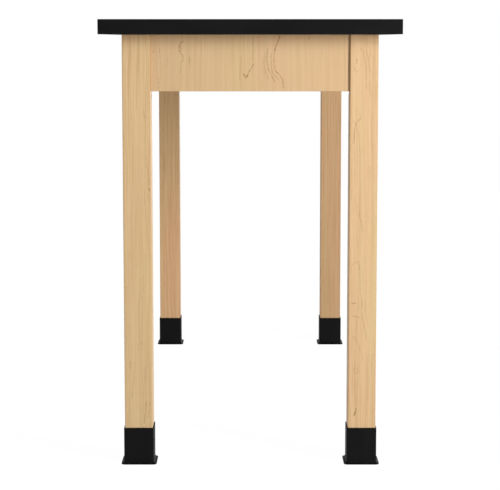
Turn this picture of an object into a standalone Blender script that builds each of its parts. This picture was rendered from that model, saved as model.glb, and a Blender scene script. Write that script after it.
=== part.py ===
"""A science lab table: a black laminate worktop on a bolted maple frame with square legs.

Units are metres and +Z is up. The origin is on the floor under the middle of the table.
The table is long in Y. Its near end, at -Y, is the end that is usually seen from the aisle.
"""

import math

import bmesh
import bpy
from mathutils import Matrix, Vector

INCH = 0.0254
SEAT = 0.0003  # gap kept between two pieces that rest on or fit into each other

# Overall sizes
TABLE_LENGTH = 60 * INCH
TABLE_WIDTH = 24 * INCH
TABLE_HEIGHT = 36 * INCH
END_OVERHANG = 1.25 * INCH
SIDE_OVERHANG = 0.0458

# Worktop: a chipboard core, a chemical-resistant face, a thin backing and a band on each edge
CORE_THICKNESS = 0.0280
LAMINATE_THICKNESS = 0.0010
BACKING_THICKNESS = 0.0005
BAND_THICKNESS = 0.0030
BAND_ARRIS = 0.0010

# Solid maple legs and aprons
LEG_SIDE = 2.25 * INCH
WOOD_ARRIS = 0.0012
APRON_HEIGHT = 4.5 * INCH
APRON_THICKNESS = 0.75 * INCH
APRON_SETBACK = 0.1875 * INCH
LEG_CHAMFER_FLAT = 0.024
LEG_CHAMFER_BELOW_APRON = 0.006

# Pressed steel corner brackets, hooked into saw kerfs in the aprons
BRACKET_SHEET = 0.0025
BRACKET_HEIGHT = 0.080
BRACKET_BEND = 0.001
BRACKET_TO_LEG = 0.005
WING_LENGTH = 0.032
WING_SCREW_HOLE = 0.0046
WING_SCREW_SPACING = 0.050
HOOK_LENGTH = 0.008
KERF_EXTRA_DEPTH = 0.002

# Hanger bolts through the brackets into the legs, with hexagon flange nuts
BOLT_DIAMETER = 0.008
BOLT_IN_LEG = 0.038
BOLT_SPACING = 0.044
BOLT_PAST_NUT = 0.005
BOLT_TIP_CHAMFER = 0.0010
BOLT_HOLE_PLAY = 0.0005
NUT_FLATS = 0.013
NUT_HEIGHT = 0.0065
NUT_FLANGE_DIAMETER = 0.0179
NUT_FLANGE_HEIGHT = 0.0016

# Spring clips that hold the worktop to the aprons, each in a disc-cut slot
CLIP_SHEET = 0.0015
CLIP_WIDTH = 0.020
CLIP_TAB = 0.008
CLIP_FLANGE = 0.020
CLIP_BEND = 0.001
CLIP_SCREW_HOLE = 0.0046
CLIP_SLOT_DROP = 0.012
SLOT_CUTTER_DIAMETER = 0.100
SLOT_EXTRA_DEPTH = 0.002
CLIPS_PER_SIDE = 3
CLIP_PITCH = 0.450

# Levelling glides: a pad on the floor and a threaded stem in an insert in the leg's end
PAD_DIAMETER = 0.034
PAD_THICKNESS = 0.005
PAD_EDGE = 0.0015
PAD_HUB_DIAMETER = 0.018
PAD_HUB_HEIGHT = 0.003
PIVOT_DIAMETER = 0.007
PIVOT_LENGTH = 0.0035
COLLAR_FLATS = 0.016
COLLAR_HEIGHT = 0.005
STEM_DIAMETER = 0.0095
STEM_LENGTH = 0.031
STEM_TIP_CHAMFER = 0.0012
STEM_ROOM = 0.006
INSERT_DIAMETER = 0.0128
INSERT_LENGTH = 0.013
INSERT_FLANGE_DIAMETER = 0.020
INSERT_FLANGE_HEIGHT = 0.0015

# Pliable boots that slide on the legs and hide the glides
BOOT_HEIGHT = 3.0 * INCH
BOOT_WALL = 0.0018
BOOT_CORNER_RADIUS = 0.0006
BOOT_FLANGE_REACH = 0.0076
BOOT_FLANGE_THICKNESS = 0.0024
BOOT_COVE_RADIUS = 0.0048
BOOT_EDGE_RADIUS = 0.0006

# Fineness of round shapes
FINE_STEPS = 24
ROD_STEPS = 16
ARC_STEPS = 2
CORNER_STEPS = 4

# Places worked out from the sizes above
WORKTOP_THICKNESS = CORE_THICKNESS + LAMINATE_THICKNESS + BACKING_THICKNESS + 2 * SEAT
WORKTOP_UNDERSIDE = TABLE_HEIGHT - WORKTOP_THICKNESS
FRAME_TOP = WORKTOP_UNDERSIDE - SEAT
APRON_BOTTOM = FRAME_TOP - APRON_HEIGHT
APRON_MIDDLE = FRAME_TOP - APRON_HEIGHT / 2
LEG_X = TABLE_WIDTH / 2 - SIDE_OVERHANG - LEG_SIDE / 2
LEG_Y = TABLE_LENGTH / 2 - END_OVERHANG - LEG_SIDE / 2
APRON_FACE = LEG_SIDE / 2 - APRON_SETBACK - APRON_THICKNESS  # inner face, from the leg's axis
CHAMFER_DISTANCE = LEG_SIDE / math.sqrt(2) - LEG_CHAMFER_FLAT / 2
PLATE_DISTANCE = CHAMFER_DISTANCE + BRACKET_TO_LEG
WING_BACK = APRON_FACE - SEAT
WING_START = PLATE_DISTANCE * math.sqrt(2) + WING_BACK
HOOK_PLACE = WING_START + WING_LENGTH

PAD_TOP = PAD_THICKNESS + PAD_HUB_HEIGHT
COLLAR_BOTTOM = PAD_TOP + SEAT
COLLAR_TOP = COLLAR_BOTTOM + COLLAR_HEIGHT
INSERT_BOTTOM = COLLAR_TOP + SEAT
LEG_BOTTOM = INSERT_BOTTOM + INSERT_FLANGE_HEIGHT + SEAT
STEM_TOP = COLLAR_TOP + STEM_LENGTH

# Each corner: its place, and the turn that points the leg's inner corner at the table's middle
CORNERS = {
    "near_left": (-1, -1, math.pi),
    "near_right": (1, -1, -math.pi / 2),
    "far_right": (1, 1, 0.0),
    "far_left": (-1, 1, math.pi / 2),
}
TO_MIDDLE = Vector((-1, -1, 0)).normalized()


def clear_scene():
    for thing in list(bpy.data.objects):
        bpy.data.objects.remove(thing)


def new_collection(name):
    collection = bpy.data.collections.new(name)
    bpy.context.scene.collection.children.link(collection)
    return collection


def new_material(name, colour, roughness, metallic=0.0):
    material = bpy.data.materials.new(name)
    material.use_nodes = True
    shader = material.node_tree.nodes["Principled BSDF"]
    shader.inputs["Base Color"].default_value = (*colour, 1.0)
    shader.inputs["Roughness"].default_value = roughness
    shader.inputs["Metallic"].default_value = metallic
    return material


clear_scene()
PARTS = new_collection("science_lab_table")
CUTTERS = new_collection("cutters")

MAPLE = new_material("maple", (0.71, 0.50, 0.29), 0.42)
CHIPBOARD = new_material("chipboard", (0.45, 0.33, 0.20), 0.80)
BLACK_LAMINATE = new_material("black_laminate", (0.013, 0.013, 0.013), 0.45)
BLACK_EDGE = new_material("black_edge_band", (0.012, 0.012, 0.012), 0.50)
BLACK_BACKING = new_material("black_backing", (0.014, 0.014, 0.014), 0.60)
BLACK_VINYL = new_material("black_vinyl", (0.011, 0.011, 0.011), 0.38)
ZINC = new_material("zinc_plated_steel", (0.62, 0.63, 0.64), 0.35, 1.0)
NYLON = new_material("grey_nylon", (0.20, 0.20, 0.20), 0.55)


def add_object(name, data, collection=PARTS, parent=None, place=(0, 0, 0), turn=0.0):
    thing = bpy.data.objects.new(name, data)
    collection.objects.link(thing)
    thing.location = place
    thing.rotation_euler = (0, 0, turn)
    thing.parent = parent
    return thing


def finished_mesh(name, work, material=None, smooth=False):
    """Turns a bmesh into a mesh with its material, and frees the bmesh."""
    mesh = bpy.data.meshes.new(name)
    work.to_mesh(mesh)
    work.free()
    if material:
        mesh.materials.append(material)
    if smooth:
        mesh.shade_smooth()
        mesh.set_sharp_from_angle(angle=math.radians(35))
    return mesh


def add_block(work, size, centre):
    matrix = Matrix.Translation(centre) @ Matrix.Diagonal((*size, 1.0))
    bmesh.ops.create_cube(work, size=1.0, matrix=matrix)


def add_rod(work, radius, length, start=(0, 0, 0), along=(0, 0, 1), steps=ROD_STEPS, end_radius=None):
    """A rod or cone from start, running along a direction."""
    direction = Vector(along).normalized()
    turn = direction.to_track_quat("Z", "Y").to_matrix().to_4x4()
    middle = Vector(start) + direction * length / 2
    end = radius if end_radius is None else end_radius
    bmesh.ops.create_cone(
        work, cap_ends=True, segments=steps, radius1=radius, radius2=end, depth=length,
        matrix=Matrix.Translation(middle) @ turn,
    )


def hexagon_radius(across_flats):
    return across_flats / math.sqrt(3)


def cutter(mesh):
    thing = add_object(mesh.name, mesh, CUTTERS)
    thing.hide_render = True
    thing.display_type = "WIRE"
    return thing


def combine(target, other, operation="DIFFERENCE"):
    modifier = target.modifiers.new(other.name, "BOOLEAN")
    modifier.operation = operation
    modifier.object = other


def add_bevel(target, width, segments=2, angle=math.radians(40)):
    modifier = target.modifiers.new("arris", "BEVEL")
    modifier.width = width
    modifier.segments = segments
    modifier.limit_method = "ANGLE"
    modifier.angle_limit = angle


def add_thickness(target, thickness, side):
    modifier = target.modifiers.new("sheet", "SOLIDIFY")
    modifier.thickness = thickness
    modifier.offset = side
    modifier.use_even_offset = True


def as_mesh(thing, material, smooth=False):
    """The evaluated mesh of a shape made with modifiers, ready to be shared by its copies."""
    bpy.context.view_layer.update()
    graph = bpy.context.evaluated_depsgraph_get()
    mesh = bpy.data.meshes.new_from_object(thing.evaluated_get(graph))
    mesh.name = thing.name
    mesh.materials.clear()
    mesh.materials.append(material)
    if smooth:
        mesh.shade_smooth()
        mesh.set_sharp_from_angle(angle=math.radians(35))
    for helper in list(CUTTERS.objects):
        bpy.data.objects.remove(helper)
    return mesh


def folded_sheet(name, outline, width, thickness, bend, across):
    """A sheet metal strip: an open outline, extruded across its width, bent and thickened.

    The outline is the strip's back face. Its thickness goes to the left of the outline's run.
    """
    work = bmesh.new()
    points = [work.verts.new(Vector(p) - Vector(across) * width / 2) for p in outline]
    edges = [work.edges.new(pair) for pair in zip(points, points[1:])]
    grown = bmesh.ops.extrude_edge_only(work, edges=edges)["geom"]
    moved = [item for item in grown if isinstance(item, bmesh.types.BMVert)]
    bmesh.ops.translate(work, verts=moved, vec=Vector(across) * width)
    thing = add_object(name, finished_mesh(name, work), CUTTERS)
    add_bevel(thing, bend, segments=3)
    add_thickness(thing, thickness, side=1.0)
    return thing


def leg_mesh():
    """A square leg with eased edges, a chamfered inner corner and its bolt and glide holes."""
    height = FRAME_TOP - LEG_BOTTOM
    work = bmesh.new()
    add_block(work, (LEG_SIDE, LEG_SIDE, height), (0, 0, LEG_BOTTOM + height / 2))
    leg = add_object("leg", finished_mesh("leg", work), CUTTERS)
    add_bevel(leg, WOOD_ARRIS)

    corner = bmesh.new()
    chamfer_bottom = APRON_BOTTOM - LEG_CHAMFER_BELOW_APRON
    size = (LEG_SIDE, LEG_SIDE * 2, LEG_SIDE * 4)
    add_block(corner, size, (LEG_SIDE / 2 + CHAMFER_DISTANCE, 0, chamfer_bottom + LEG_SIDE * 2))
    bmesh.ops.rotate(corner, verts=corner.verts, matrix=Matrix.Rotation(math.radians(-135), 3, "Z"))
    combine(leg, cutter(finished_mesh("inner_corner_chamfer", corner)))

    holes = bmesh.new()
    for height_in_apron in bolt_heights():
        start = TO_MIDDLE * (CHAMFER_DISTANCE + LEG_SIDE / 2) + Vector((0, 0, height_in_apron))
        depth = LEG_SIDE / 2 + BOLT_IN_LEG + SEAT
        add_rod(holes, BOLT_DIAMETER / 2 + SEAT, depth, start, -TO_MIDDLE)
    combine(leg, cutter(finished_mesh("bolt_pilot_holes", holes)))

    socket = bmesh.new()
    below = INSERT_LENGTH / 2
    add_rod(socket, INSERT_DIAMETER / 2 + SEAT, INSERT_LENGTH + SEAT + below, (0, 0, LEG_BOTTOM - below))
    combine(leg, cutter(finished_mesh("insert_hole", socket)))
    stem_room = bmesh.new()
    add_rod(stem_room, STEM_DIAMETER / 2 + 2 * SEAT, STEM_TOP + STEM_ROOM)
    combine(leg, cutter(finished_mesh("stem_hole", stem_room)))
    return as_mesh(leg, MAPLE)


def bolt_heights():
    return [APRON_MIDDLE - BOLT_SPACING / 2, APRON_MIDDLE + BOLT_SPACING / 2]


def bracket_mesh():
    """A corner bracket: a diagonal plate, a wing on each apron and a hook in each kerf."""
    outline = [
        (WING_BACK + HOOK_LENGTH, -HOOK_PLACE, 0),
        (WING_BACK, -HOOK_PLACE, 0),
        (WING_BACK, -WING_START, 0),
        (-WING_START, WING_BACK, 0),
        (-HOOK_PLACE, WING_BACK, 0),
        (-HOOK_PLACE, WING_BACK + HOOK_LENGTH, 0),
    ]
    raised = [(x, y, APRON_MIDDLE) for x, y, _ in outline]
    bracket = folded_sheet("corner_bracket", raised, BRACKET_HEIGHT, BRACKET_SHEET, BRACKET_BEND, (0, 0, 1))

    holes = bmesh.new()
    for height in bolt_heights():
        start = TO_MIDDLE * CHAMFER_DISTANCE + Vector((0, 0, height))
        add_rod(holes, BOLT_DIAMETER / 2 + BOLT_HOLE_PLAY, 4 * BRACKET_TO_LEG, start, TO_MIDDLE)
    middle_of_wing = -(WING_START + WING_LENGTH / 2)
    for rise in (-WING_SCREW_SPACING / 2, WING_SCREW_SPACING / 2):
        height = APRON_MIDDLE + rise
        reach = 4 * BRACKET_SHEET
        edge = WING_BACK + BRACKET_SHEET
        add_rod(holes, WING_SCREW_HOLE / 2, reach, (edge, middle_of_wing, height), (-1, 0, 0))
        add_rod(holes, WING_SCREW_HOLE / 2, reach, (middle_of_wing, edge, height), (0, -1, 0))
    combine(bracket, cutter(finished_mesh("bracket_holes", holes)))
    return as_mesh(bracket, ZINC)


def hanger_bolt_mesh():
    """A hanger bolt with chamfered ends. It runs along +X from its end in the wood."""
    nut = NUT_FLANGE_HEIGHT + NUT_HEIGHT
    length = BOLT_IN_LEG + BRACKET_TO_LEG + BRACKET_SHEET + SEAT + nut + BOLT_PAST_NUT
    work = bmesh.new()
    add_rod(work, BOLT_DIAMETER / 2, length, along=(1, 0, 0))
    thing = add_object("hanger_bolt", finished_mesh("hanger_bolt", work), CUTTERS)
    add_bevel(thing, BOLT_TIP_CHAMFER, segments=1)
    return as_mesh(thing, ZINC, smooth=True)


def flange_nut_mesh():
    """A hexagon flange nut. Its flange seats at the origin and the nut runs along +X."""
    work = bmesh.new()
    flange_radius = NUT_FLANGE_DIAMETER / 2
    shoulder = hexagon_radius(NUT_FLATS)
    add_rod(work, flange_radius, NUT_FLANGE_HEIGHT, along=(1, 0, 0), end_radius=shoulder)
    nut = add_object("flange_nut", finished_mesh("flange_nut", work), CUTTERS)

    hexagon = bmesh.new()
    buried = NUT_FLANGE_HEIGHT / 2
    add_rod(hexagon, shoulder, NUT_FLANGE_HEIGHT + NUT_HEIGHT - buried, (buried, 0, 0), (1, 0, 0), steps=6)
    combine(nut, cutter(finished_mesh("hexagon", hexagon)), "UNION")
    bore = bmesh.new()
    add_rod(bore, BOLT_DIAMETER / 2 + SEAT, 4 * NUT_HEIGHT, (-NUT_HEIGHT, 0, 0), (1, 0, 0))
    combine(nut, cutter(finished_mesh("nut_bore", bore)))
    return as_mesh(nut, ZINC)


def clip_mesh():
    """A spring clip. Its origin is on the apron's inner face, level with the apron's top edge.

    The tab runs along +X into the slot, and the flange runs back along -X under the worktop.
    """
    flange_top = 0.0
    tab_top = -CLIP_SLOT_DROP - SEAT
    riser = -CLIP_BEND
    outline = [
        (CLIP_TAB, 0, tab_top),
        (riser, 0, tab_top),
        (riser, 0, flange_top),
        (riser - CLIP_FLANGE, 0, flange_top),
    ]
    clip = folded_sheet("top_clip", outline, CLIP_WIDTH, CLIP_SHEET, CLIP_BEND, (0, -1, 0))
    hole = bmesh.new()
    middle_of_flange = riser - (CLIP_FLANGE + CLIP_SHEET) / 2
    add_rod(hole, CLIP_SCREW_HOLE / 2, 6 * CLIP_SHEET, (middle_of_flange, 0, -4 * CLIP_SHEET))
    combine(clip, cutter(finished_mesh("clip_screw_hole", hole)))
    return as_mesh(clip, ZINC)


def insert_mesh():
    """A flanged threaded insert for the leg's end, with its bore left plain."""
    work = bmesh.new()
    add_rod(work, INSERT_FLANGE_DIAMETER / 2, INSERT_FLANGE_HEIGHT, (0, 0, INSERT_BOTTOM), steps=FINE_STEPS)
    insert = add_object("leg_insert", finished_mesh("leg_insert", work), CUTTERS)
    barrel = bmesh.new()
    start = INSERT_BOTTOM + INSERT_FLANGE_HEIGHT / 2
    add_rod(barrel, INSERT_DIAMETER / 2, LEG_BOTTOM + INSERT_LENGTH - start, (0, 0, start))
    combine(insert, cutter(finished_mesh("insert_barrel", barrel)), "UNION")
    bore = bmesh.new()
    add_rod(bore, STEM_DIAMETER / 2 + SEAT, 4 * INSERT_LENGTH, (0, 0, INSERT_BOTTOM - INSERT_LENGTH))
    combine(insert, cutter(finished_mesh("insert_bore", bore)))
    return as_mesh(insert, ZINC)


def glide_stem_mesh():
    """The turning part of a glide: pivot, hexagon collar and stem, about the leg's axis."""
    work = bmesh.new()
    add_rod(work, hexagon_radius(COLLAR_FLATS), COLLAR_HEIGHT, (0, 0, COLLAR_BOTTOM), steps=6)
    stem = add_object("glide_stem", finished_mesh("glide_stem", work), CUTTERS)
    overlap = COLLAR_HEIGHT / 2
    pivot = bmesh.new()
    pivot_bottom = PAD_TOP - PIVOT_LENGTH
    add_rod(pivot, PIVOT_DIAMETER / 2, COLLAR_BOTTOM + overlap - pivot_bottom, (0, 0, pivot_bottom))
    combine(stem, cutter(finished_mesh("pivot", pivot)), "UNION")
    shank = bmesh.new()
    add_rod(shank, STEM_DIAMETER / 2, STEM_LENGTH + overlap, (0, 0, COLLAR_TOP - overlap))
    threaded = cutter(finished_mesh("shank", shank))
    add_bevel(threaded, STEM_TIP_CHAMFER, segments=1)
    combine(stem, threaded, "UNION")
    return as_mesh(stem, ZINC)


def turned(name, profile, material, steps=FINE_STEPS):
    """A turned shape about Z. The profile runs from the axis at the top, down its outer side."""
    work = bmesh.new()
    points = [work.verts.new((radius, 0, height)) for radius, height in profile]
    for pair in zip(points, points[1:]):
        work.edges.new(pair)
    thing = add_object(name, finished_mesh(name, work), CUTTERS)
    screw = thing.modifiers.new("turn", "SCREW")
    screw.steps = steps
    screw.render_steps = steps
    screw.use_merge_vertices = True
    screw.merge_threshold = 0.00001
    return as_mesh(thing, material, smooth=True)


def quarter_arc(centre, radius, start_degrees, turn_degrees=90, steps=ARC_STEPS):
    """Points of an arc in a profile's plane, from its start angle through its turn."""
    angles = [math.radians(start_degrees + turn_degrees * i / steps) for i in range(steps + 1)]
    return [(centre[0] + radius * math.cos(a), centre[1] + radius * math.sin(a)) for a in angles]


def glide_pad_mesh():
    """The pad of a glide: a disc with a hub, and a socket that takes the stem's pivot."""
    socket_radius = PIVOT_DIAMETER / 2 + SEAT
    socket_floor = PAD_TOP - PIVOT_LENGTH - SEAT
    rim = PAD_DIAMETER / 2
    top_edge = quarter_arc((rim - PAD_EDGE, PAD_THICKNESS - PAD_EDGE), PAD_EDGE, 90, -90)
    bottom_edge = quarter_arc((rim - PAD_EDGE, PAD_EDGE), PAD_EDGE, 0, -90)
    profile = [
        (0, socket_floor), (socket_radius, socket_floor), (socket_radius, PAD_TOP),
        (PAD_HUB_DIAMETER / 2, PAD_TOP), (PAD_HUB_DIAMETER / 2, PAD_THICKNESS),
        *top_edge, *bottom_edge, (0, 0),
    ]
    return turned("glide_pad", profile, NYLON)


def boot_profile():
    """The boot's wall and coved flange in section: distance out from the leg, and height."""
    reach = BOOT_FLANGE_REACH
    edge = BOOT_EDGE_RADIUS
    lip = quarter_arc((BOOT_WALL - edge, BOOT_HEIGHT - edge), edge, 0)
    bottom = quarter_arc((reach - edge, edge), edge, -90)
    top = quarter_arc((reach - edge, BOOT_FLANGE_THICKNESS - edge), edge, 0)
    cove_centre = (BOOT_WALL + BOOT_COVE_RADIUS, BOOT_FLANGE_THICKNESS + BOOT_COVE_RADIUS)
    cove = quarter_arc(cove_centre, BOOT_COVE_RADIUS, -90, -90, CORNER_STEPS)
    return [(0, 0), *bottom, *top, *cove, *lip, (0, BOOT_HEIGHT)]


def poly_curve(name, points, flat):
    data = bpy.data.curves.new(name, "CURVE")
    data.dimensions = "2D" if flat else "3D"
    data.twist_mode = "Z_UP"
    spline = data.splines.new("POLY")
    spline.points.add(len(points) - 1)
    for point, place in zip(spline.points, points):
        point.co = (*place, 1.0)
    spline.use_cyclic_u = True
    return data


def boot_mesh():
    """A boot: its section swept round the square that just clears the leg."""
    half = LEG_SIDE / 2 + SEAT
    centre = half - BOOT_CORNER_RADIUS
    path = []
    for quarter in range(4):
        turn = Matrix.Rotation(math.radians(90 * quarter), 3, "Z")
        corner = quarter_arc((centre, centre), BOOT_CORNER_RADIUS, 0, 90, CORNER_STEPS)
        path += [turn @ Vector((x, y, 0)) for x, y in corner]
    section = [(out, height, 0) for out, height in reversed(boot_profile())]
    profile = add_object("boot_section", poly_curve("boot_section", section, flat=True), CUTTERS)
    route = poly_curve("leg_boot", path, flat=False)
    route.bevel_mode = "OBJECT"
    route.bevel_object = profile
    boot = add_object("leg_boot", route, CUTTERS)
    return as_mesh(boot, BLACK_VINYL, smooth=True)


def apron_mesh(name, length, clip_places):
    """An apron along X, centred, with its inner face at Y = 0 and the wood towards +Y.

    Its long edges are eased. Its ends are cut square, to butt against the legs.
    """
    work = bmesh.new()
    add_block(work, (length, APRON_THICKNESS, APRON_HEIGHT), (0, APRON_THICKNESS / 2, APRON_MIDDLE))
    long_edges = [edge for edge in work.edges if edge.calc_length() > length / 2]
    bmesh.ops.bevel(
        work, geom=long_edges, offset=WOOD_ARRIS, segments=2, profile=0.5, affect="EDGES", material=-1
    )
    apron = add_object(name, finished_mesh(name, work), CUTTERS)

    kerfs = bmesh.new()
    kerf_width = BRACKET_BEND + BRACKET_SHEET + 2 * SEAT
    kerf_depth = HOOK_LENGTH - SEAT + KERF_EXTRA_DEPTH
    leg_axis = length / 2 + SEAT + LEG_SIDE / 2
    place = leg_axis - HOOK_PLACE - BRACKET_SHEET - SEAT + kerf_width / 2
    for side in (-1, 1):
        size = (kerf_width, 2 * kerf_depth, 2 * APRON_HEIGHT)
        add_block(kerfs, size, (side * place, 0, APRON_MIDDLE))
    combine(apron, cutter(finished_mesh("hook_kerfs", kerfs)))

    slots = bmesh.new()
    slot_height = CLIP_SHEET + 2 * SEAT
    slot_bottom = FRAME_TOP - CLIP_SLOT_DROP - slot_height
    slot_depth = CLIP_TAB + SLOT_EXTRA_DEPTH
    radius = SLOT_CUTTER_DIAMETER / 2
    for along in clip_places:
        add_rod(slots, radius, slot_height, (along, slot_depth - radius, slot_bottom), steps=2 * FINE_STEPS)
    combine(apron, cutter(finished_mesh("clip_slots", slots)))
    return as_mesh(apron, MAPLE)


def add_corner_pieces():
    """Everything that repeats at each leg, placed from an empty on the leg's axis."""
    shared = {
        "leg": leg_mesh(),
        "corner_bracket": bracket_mesh(),
        "leg_insert": insert_mesh(),
        "glide_stem": glide_stem_mesh(),
        "glide_pad": glide_pad_mesh(),
        "leg_boot": boot_mesh(),
    }
    bolt = hanger_bolt_mesh()
    nut = flange_nut_mesh()
    to_middle = math.atan2(TO_MIDDLE.y, TO_MIDDLE.x)
    for corner, (side, end, turn) in CORNERS.items():
        empty = add_object("axis_" + corner, None, place=(side * LEG_X, end * LEG_Y, 0), turn=turn)
        for name, mesh in shared.items():
            add_object(f"{name}_{corner}", mesh, parent=empty)
        for level, height in zip(("lower", "upper"), bolt_heights()):
            start = TO_MIDDLE * (CHAMFER_DISTANCE - BOLT_IN_LEG) + Vector((0, 0, height))
            add_object(f"hanger_bolt_{level}_{corner}", bolt, parent=empty, place=start, turn=to_middle)
            seat = TO_MIDDLE * (PLATE_DISTANCE + BRACKET_SHEET + SEAT) + Vector((0, 0, height))
            add_object(f"flange_nut_{level}_{corner}", nut, parent=empty, place=seat, turn=to_middle)


def add_aprons_and_clips():
    """Four aprons between the legs, and the clips along them that hold the worktop."""
    end_length = 2 * LEG_X - LEG_SIDE - 2 * SEAT
    side_length = 2 * LEG_Y - LEG_SIDE - 2 * SEAT
    side_places = [CLIP_PITCH * (i - (CLIPS_PER_SIDE - 1) / 2) for i in range(CLIPS_PER_SIDE)]
    end_apron = apron_mesh("end_apron", end_length, [0.0])
    side_apron = apron_mesh("side_apron", side_length, side_places)
    clip = clip_mesh()
    end_face = LEG_Y + APRON_FACE
    side_face = LEG_X + APRON_FACE
    aprons = {
        "near_end": (end_apron, math.pi, (0, -end_face), [0.0]),
        "far_end": (end_apron, 0.0, (0, end_face), [0.0]),
        "left_side": (side_apron, math.pi / 2, (-side_face, 0), side_places),
        "right_side": (side_apron, -math.pi / 2, (side_face, 0), side_places),
    }
    for name, (mesh, turn, (x, y), places) in aprons.items():
        apron = add_object("apron_" + name, mesh, place=(x, y, 0), turn=turn)
        for number, along in enumerate(places, start=1):
            label = f"top_clip_{name}_{number}" if len(places) > 1 else f"top_clip_{name}"
            add_object(label, clip, parent=apron, place=(along, 0, FRAME_TOP), turn=math.pi / 2)


def add_board(name, size, bottom, material, centre=(0, 0)):
    work = bmesh.new()
    add_block(work, size, (0, 0, size[2] / 2))
    return add_object(name, finished_mesh(name, work, material), place=(*centre, bottom))


def add_worktop():
    """The core with its face and backing, and the four edge bands round them."""
    inset = BAND_THICKNESS + SEAT
    width = TABLE_WIDTH - 2 * inset
    length = TABLE_LENGTH - 2 * inset
    core_bottom = WORKTOP_UNDERSIDE + BACKING_THICKNESS + SEAT
    laminate_bottom = core_bottom + CORE_THICKNESS + SEAT
    add_board("backing_sheet", (width, length, BACKING_THICKNESS), WORKTOP_UNDERSIDE, BLACK_BACKING)
    add_board("top_core", (width, length, CORE_THICKNESS), core_bottom, CHIPBOARD)
    add_board("top_laminate", (width, length, LAMINATE_THICKNESS), laminate_bottom, BLACK_LAMINATE)
    end_place = (TABLE_LENGTH - BAND_THICKNESS) / 2
    side_place = (TABLE_WIDTH - BAND_THICKNESS) / 2
    end_size = (TABLE_WIDTH, BAND_THICKNESS, WORKTOP_THICKNESS)
    side_size = (BAND_THICKNESS, length, WORKTOP_THICKNESS)
    bands = {
        "near_end": (end_size, (0, -end_place)),
        "far_end": (end_size, (0, end_place)),
        "left_side": (side_size, (-side_place, 0)),
        "right_side": (side_size, (side_place, 0)),
    }
    for name, (size, centre) in bands.items():
        band = add_board("edge_band_" + name, size, WORKTOP_UNDERSIDE, BLACK_EDGE, centre)
        add_bevel(band, BAND_ARRIS)


add_corner_pieces()
add_aprons_and_clips()
add_worktop()
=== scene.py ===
# %% [markdown]
# # A science lab table, dressed for its photograph
# The table is a bolted frame of pale maple under a black laminate worktop. Its four square legs
# end in black moulded boots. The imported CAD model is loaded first, and it fixes every size and
# place. This script adds what the solids leave out: the woods' figure, the textures of the black
# parts, the plating, the screws, the threads and the smooth mouldings of the boots.

# %% The frame, and the CAD model's own box
import math

import bmesh
import bpy
from mathutils import Matrix, Vector


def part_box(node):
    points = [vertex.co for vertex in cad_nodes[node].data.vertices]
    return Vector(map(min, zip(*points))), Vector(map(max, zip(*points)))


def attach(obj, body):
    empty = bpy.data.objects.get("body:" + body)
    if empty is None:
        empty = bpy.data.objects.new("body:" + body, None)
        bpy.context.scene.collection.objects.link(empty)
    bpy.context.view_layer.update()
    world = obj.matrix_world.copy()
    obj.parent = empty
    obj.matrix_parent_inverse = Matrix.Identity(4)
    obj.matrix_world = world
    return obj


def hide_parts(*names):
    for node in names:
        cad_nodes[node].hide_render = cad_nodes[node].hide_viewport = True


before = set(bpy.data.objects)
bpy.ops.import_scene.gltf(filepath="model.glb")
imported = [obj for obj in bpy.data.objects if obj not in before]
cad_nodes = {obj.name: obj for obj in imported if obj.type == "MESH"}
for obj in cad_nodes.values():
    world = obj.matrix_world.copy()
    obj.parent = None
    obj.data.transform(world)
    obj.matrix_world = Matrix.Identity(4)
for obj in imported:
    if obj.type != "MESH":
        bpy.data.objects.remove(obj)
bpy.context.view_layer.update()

# %% [markdown]
# ## The legs' axes
# A leg, its boot and its glide share one upright axis. It could be typed in, but the glide's pad is
# centred on it in the CAD model. So the middle of the pad's box gives it, at any size of table.

# %% The axis of each leg
CORNERS = ["near_left", "near_right", "far_right", "far_left"]
LEG_AXIS = {}
for corner in CORNERS:
    low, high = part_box("glide_pad_" + corner)
    LEG_AXIS[corner] = Vector(((low.x + high.x) / 2, (low.y + high.y) / 2, 0.0))
    print("leg axis", corner, tuple(round(c, 4) for c in LEG_AXIS[corner]))

# %% [markdown]
# ## The camera
# The photograph looks at one short end from about four metres away, with a long lens that points
# slightly down. The distance, height, tilt and lens were solved from the straight edges of the
# worktop, legs and boots. A plain camera without shift or depth of field then gives the same
# picture, so nothing has to be stretched to match.

# %% The camera at the photograph's viewing angle
CAMERA_PLACE = (0.0, -4.2019, 0.8758)
CAMERA_TILT = 0.12      # radians below the horizontal
CAMERA_TURN = 0.00012   # radians to the left of the table's own middle line
CAMERA_LENS = 123.26    # millimetres, on a sensor 36 mm wide


def into_scene(name, data):
    """A new object in the scene."""
    thing = bpy.data.objects.new(name, data)
    bpy.context.scene.collection.objects.link(thing)
    return thing


camera = into_scene("camera", bpy.data.cameras.new("camera"))
camera.data.lens = CAMERA_LENS
camera.data.sensor_width = 36.0
camera.data.clip_end = 60.0
camera.location = CAMERA_PLACE
camera.rotation_euler = (math.pi / 2 - CAMERA_TILT, 0.0, CAMERA_TURN)
bpy.context.scene.camera = camera
bpy.context.scene.view_settings.view_transform = "Standard"
print("camera", CAMERA_LENS, "mm at", CAMERA_PLACE)

# %% [markdown]
# ## Shader maths as Python
# A procedural finish is mostly arithmetic on positions and noises. Wiring each Math node by hand
# hides that arithmetic, so a small class wraps a socket and gives it Python's operators: an
# expression such as `1 - mask * 0.3` then adds the nodes it needs. Vectors and colours go through
# their own nodes, because a Math node would turn a colour grey.

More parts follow.
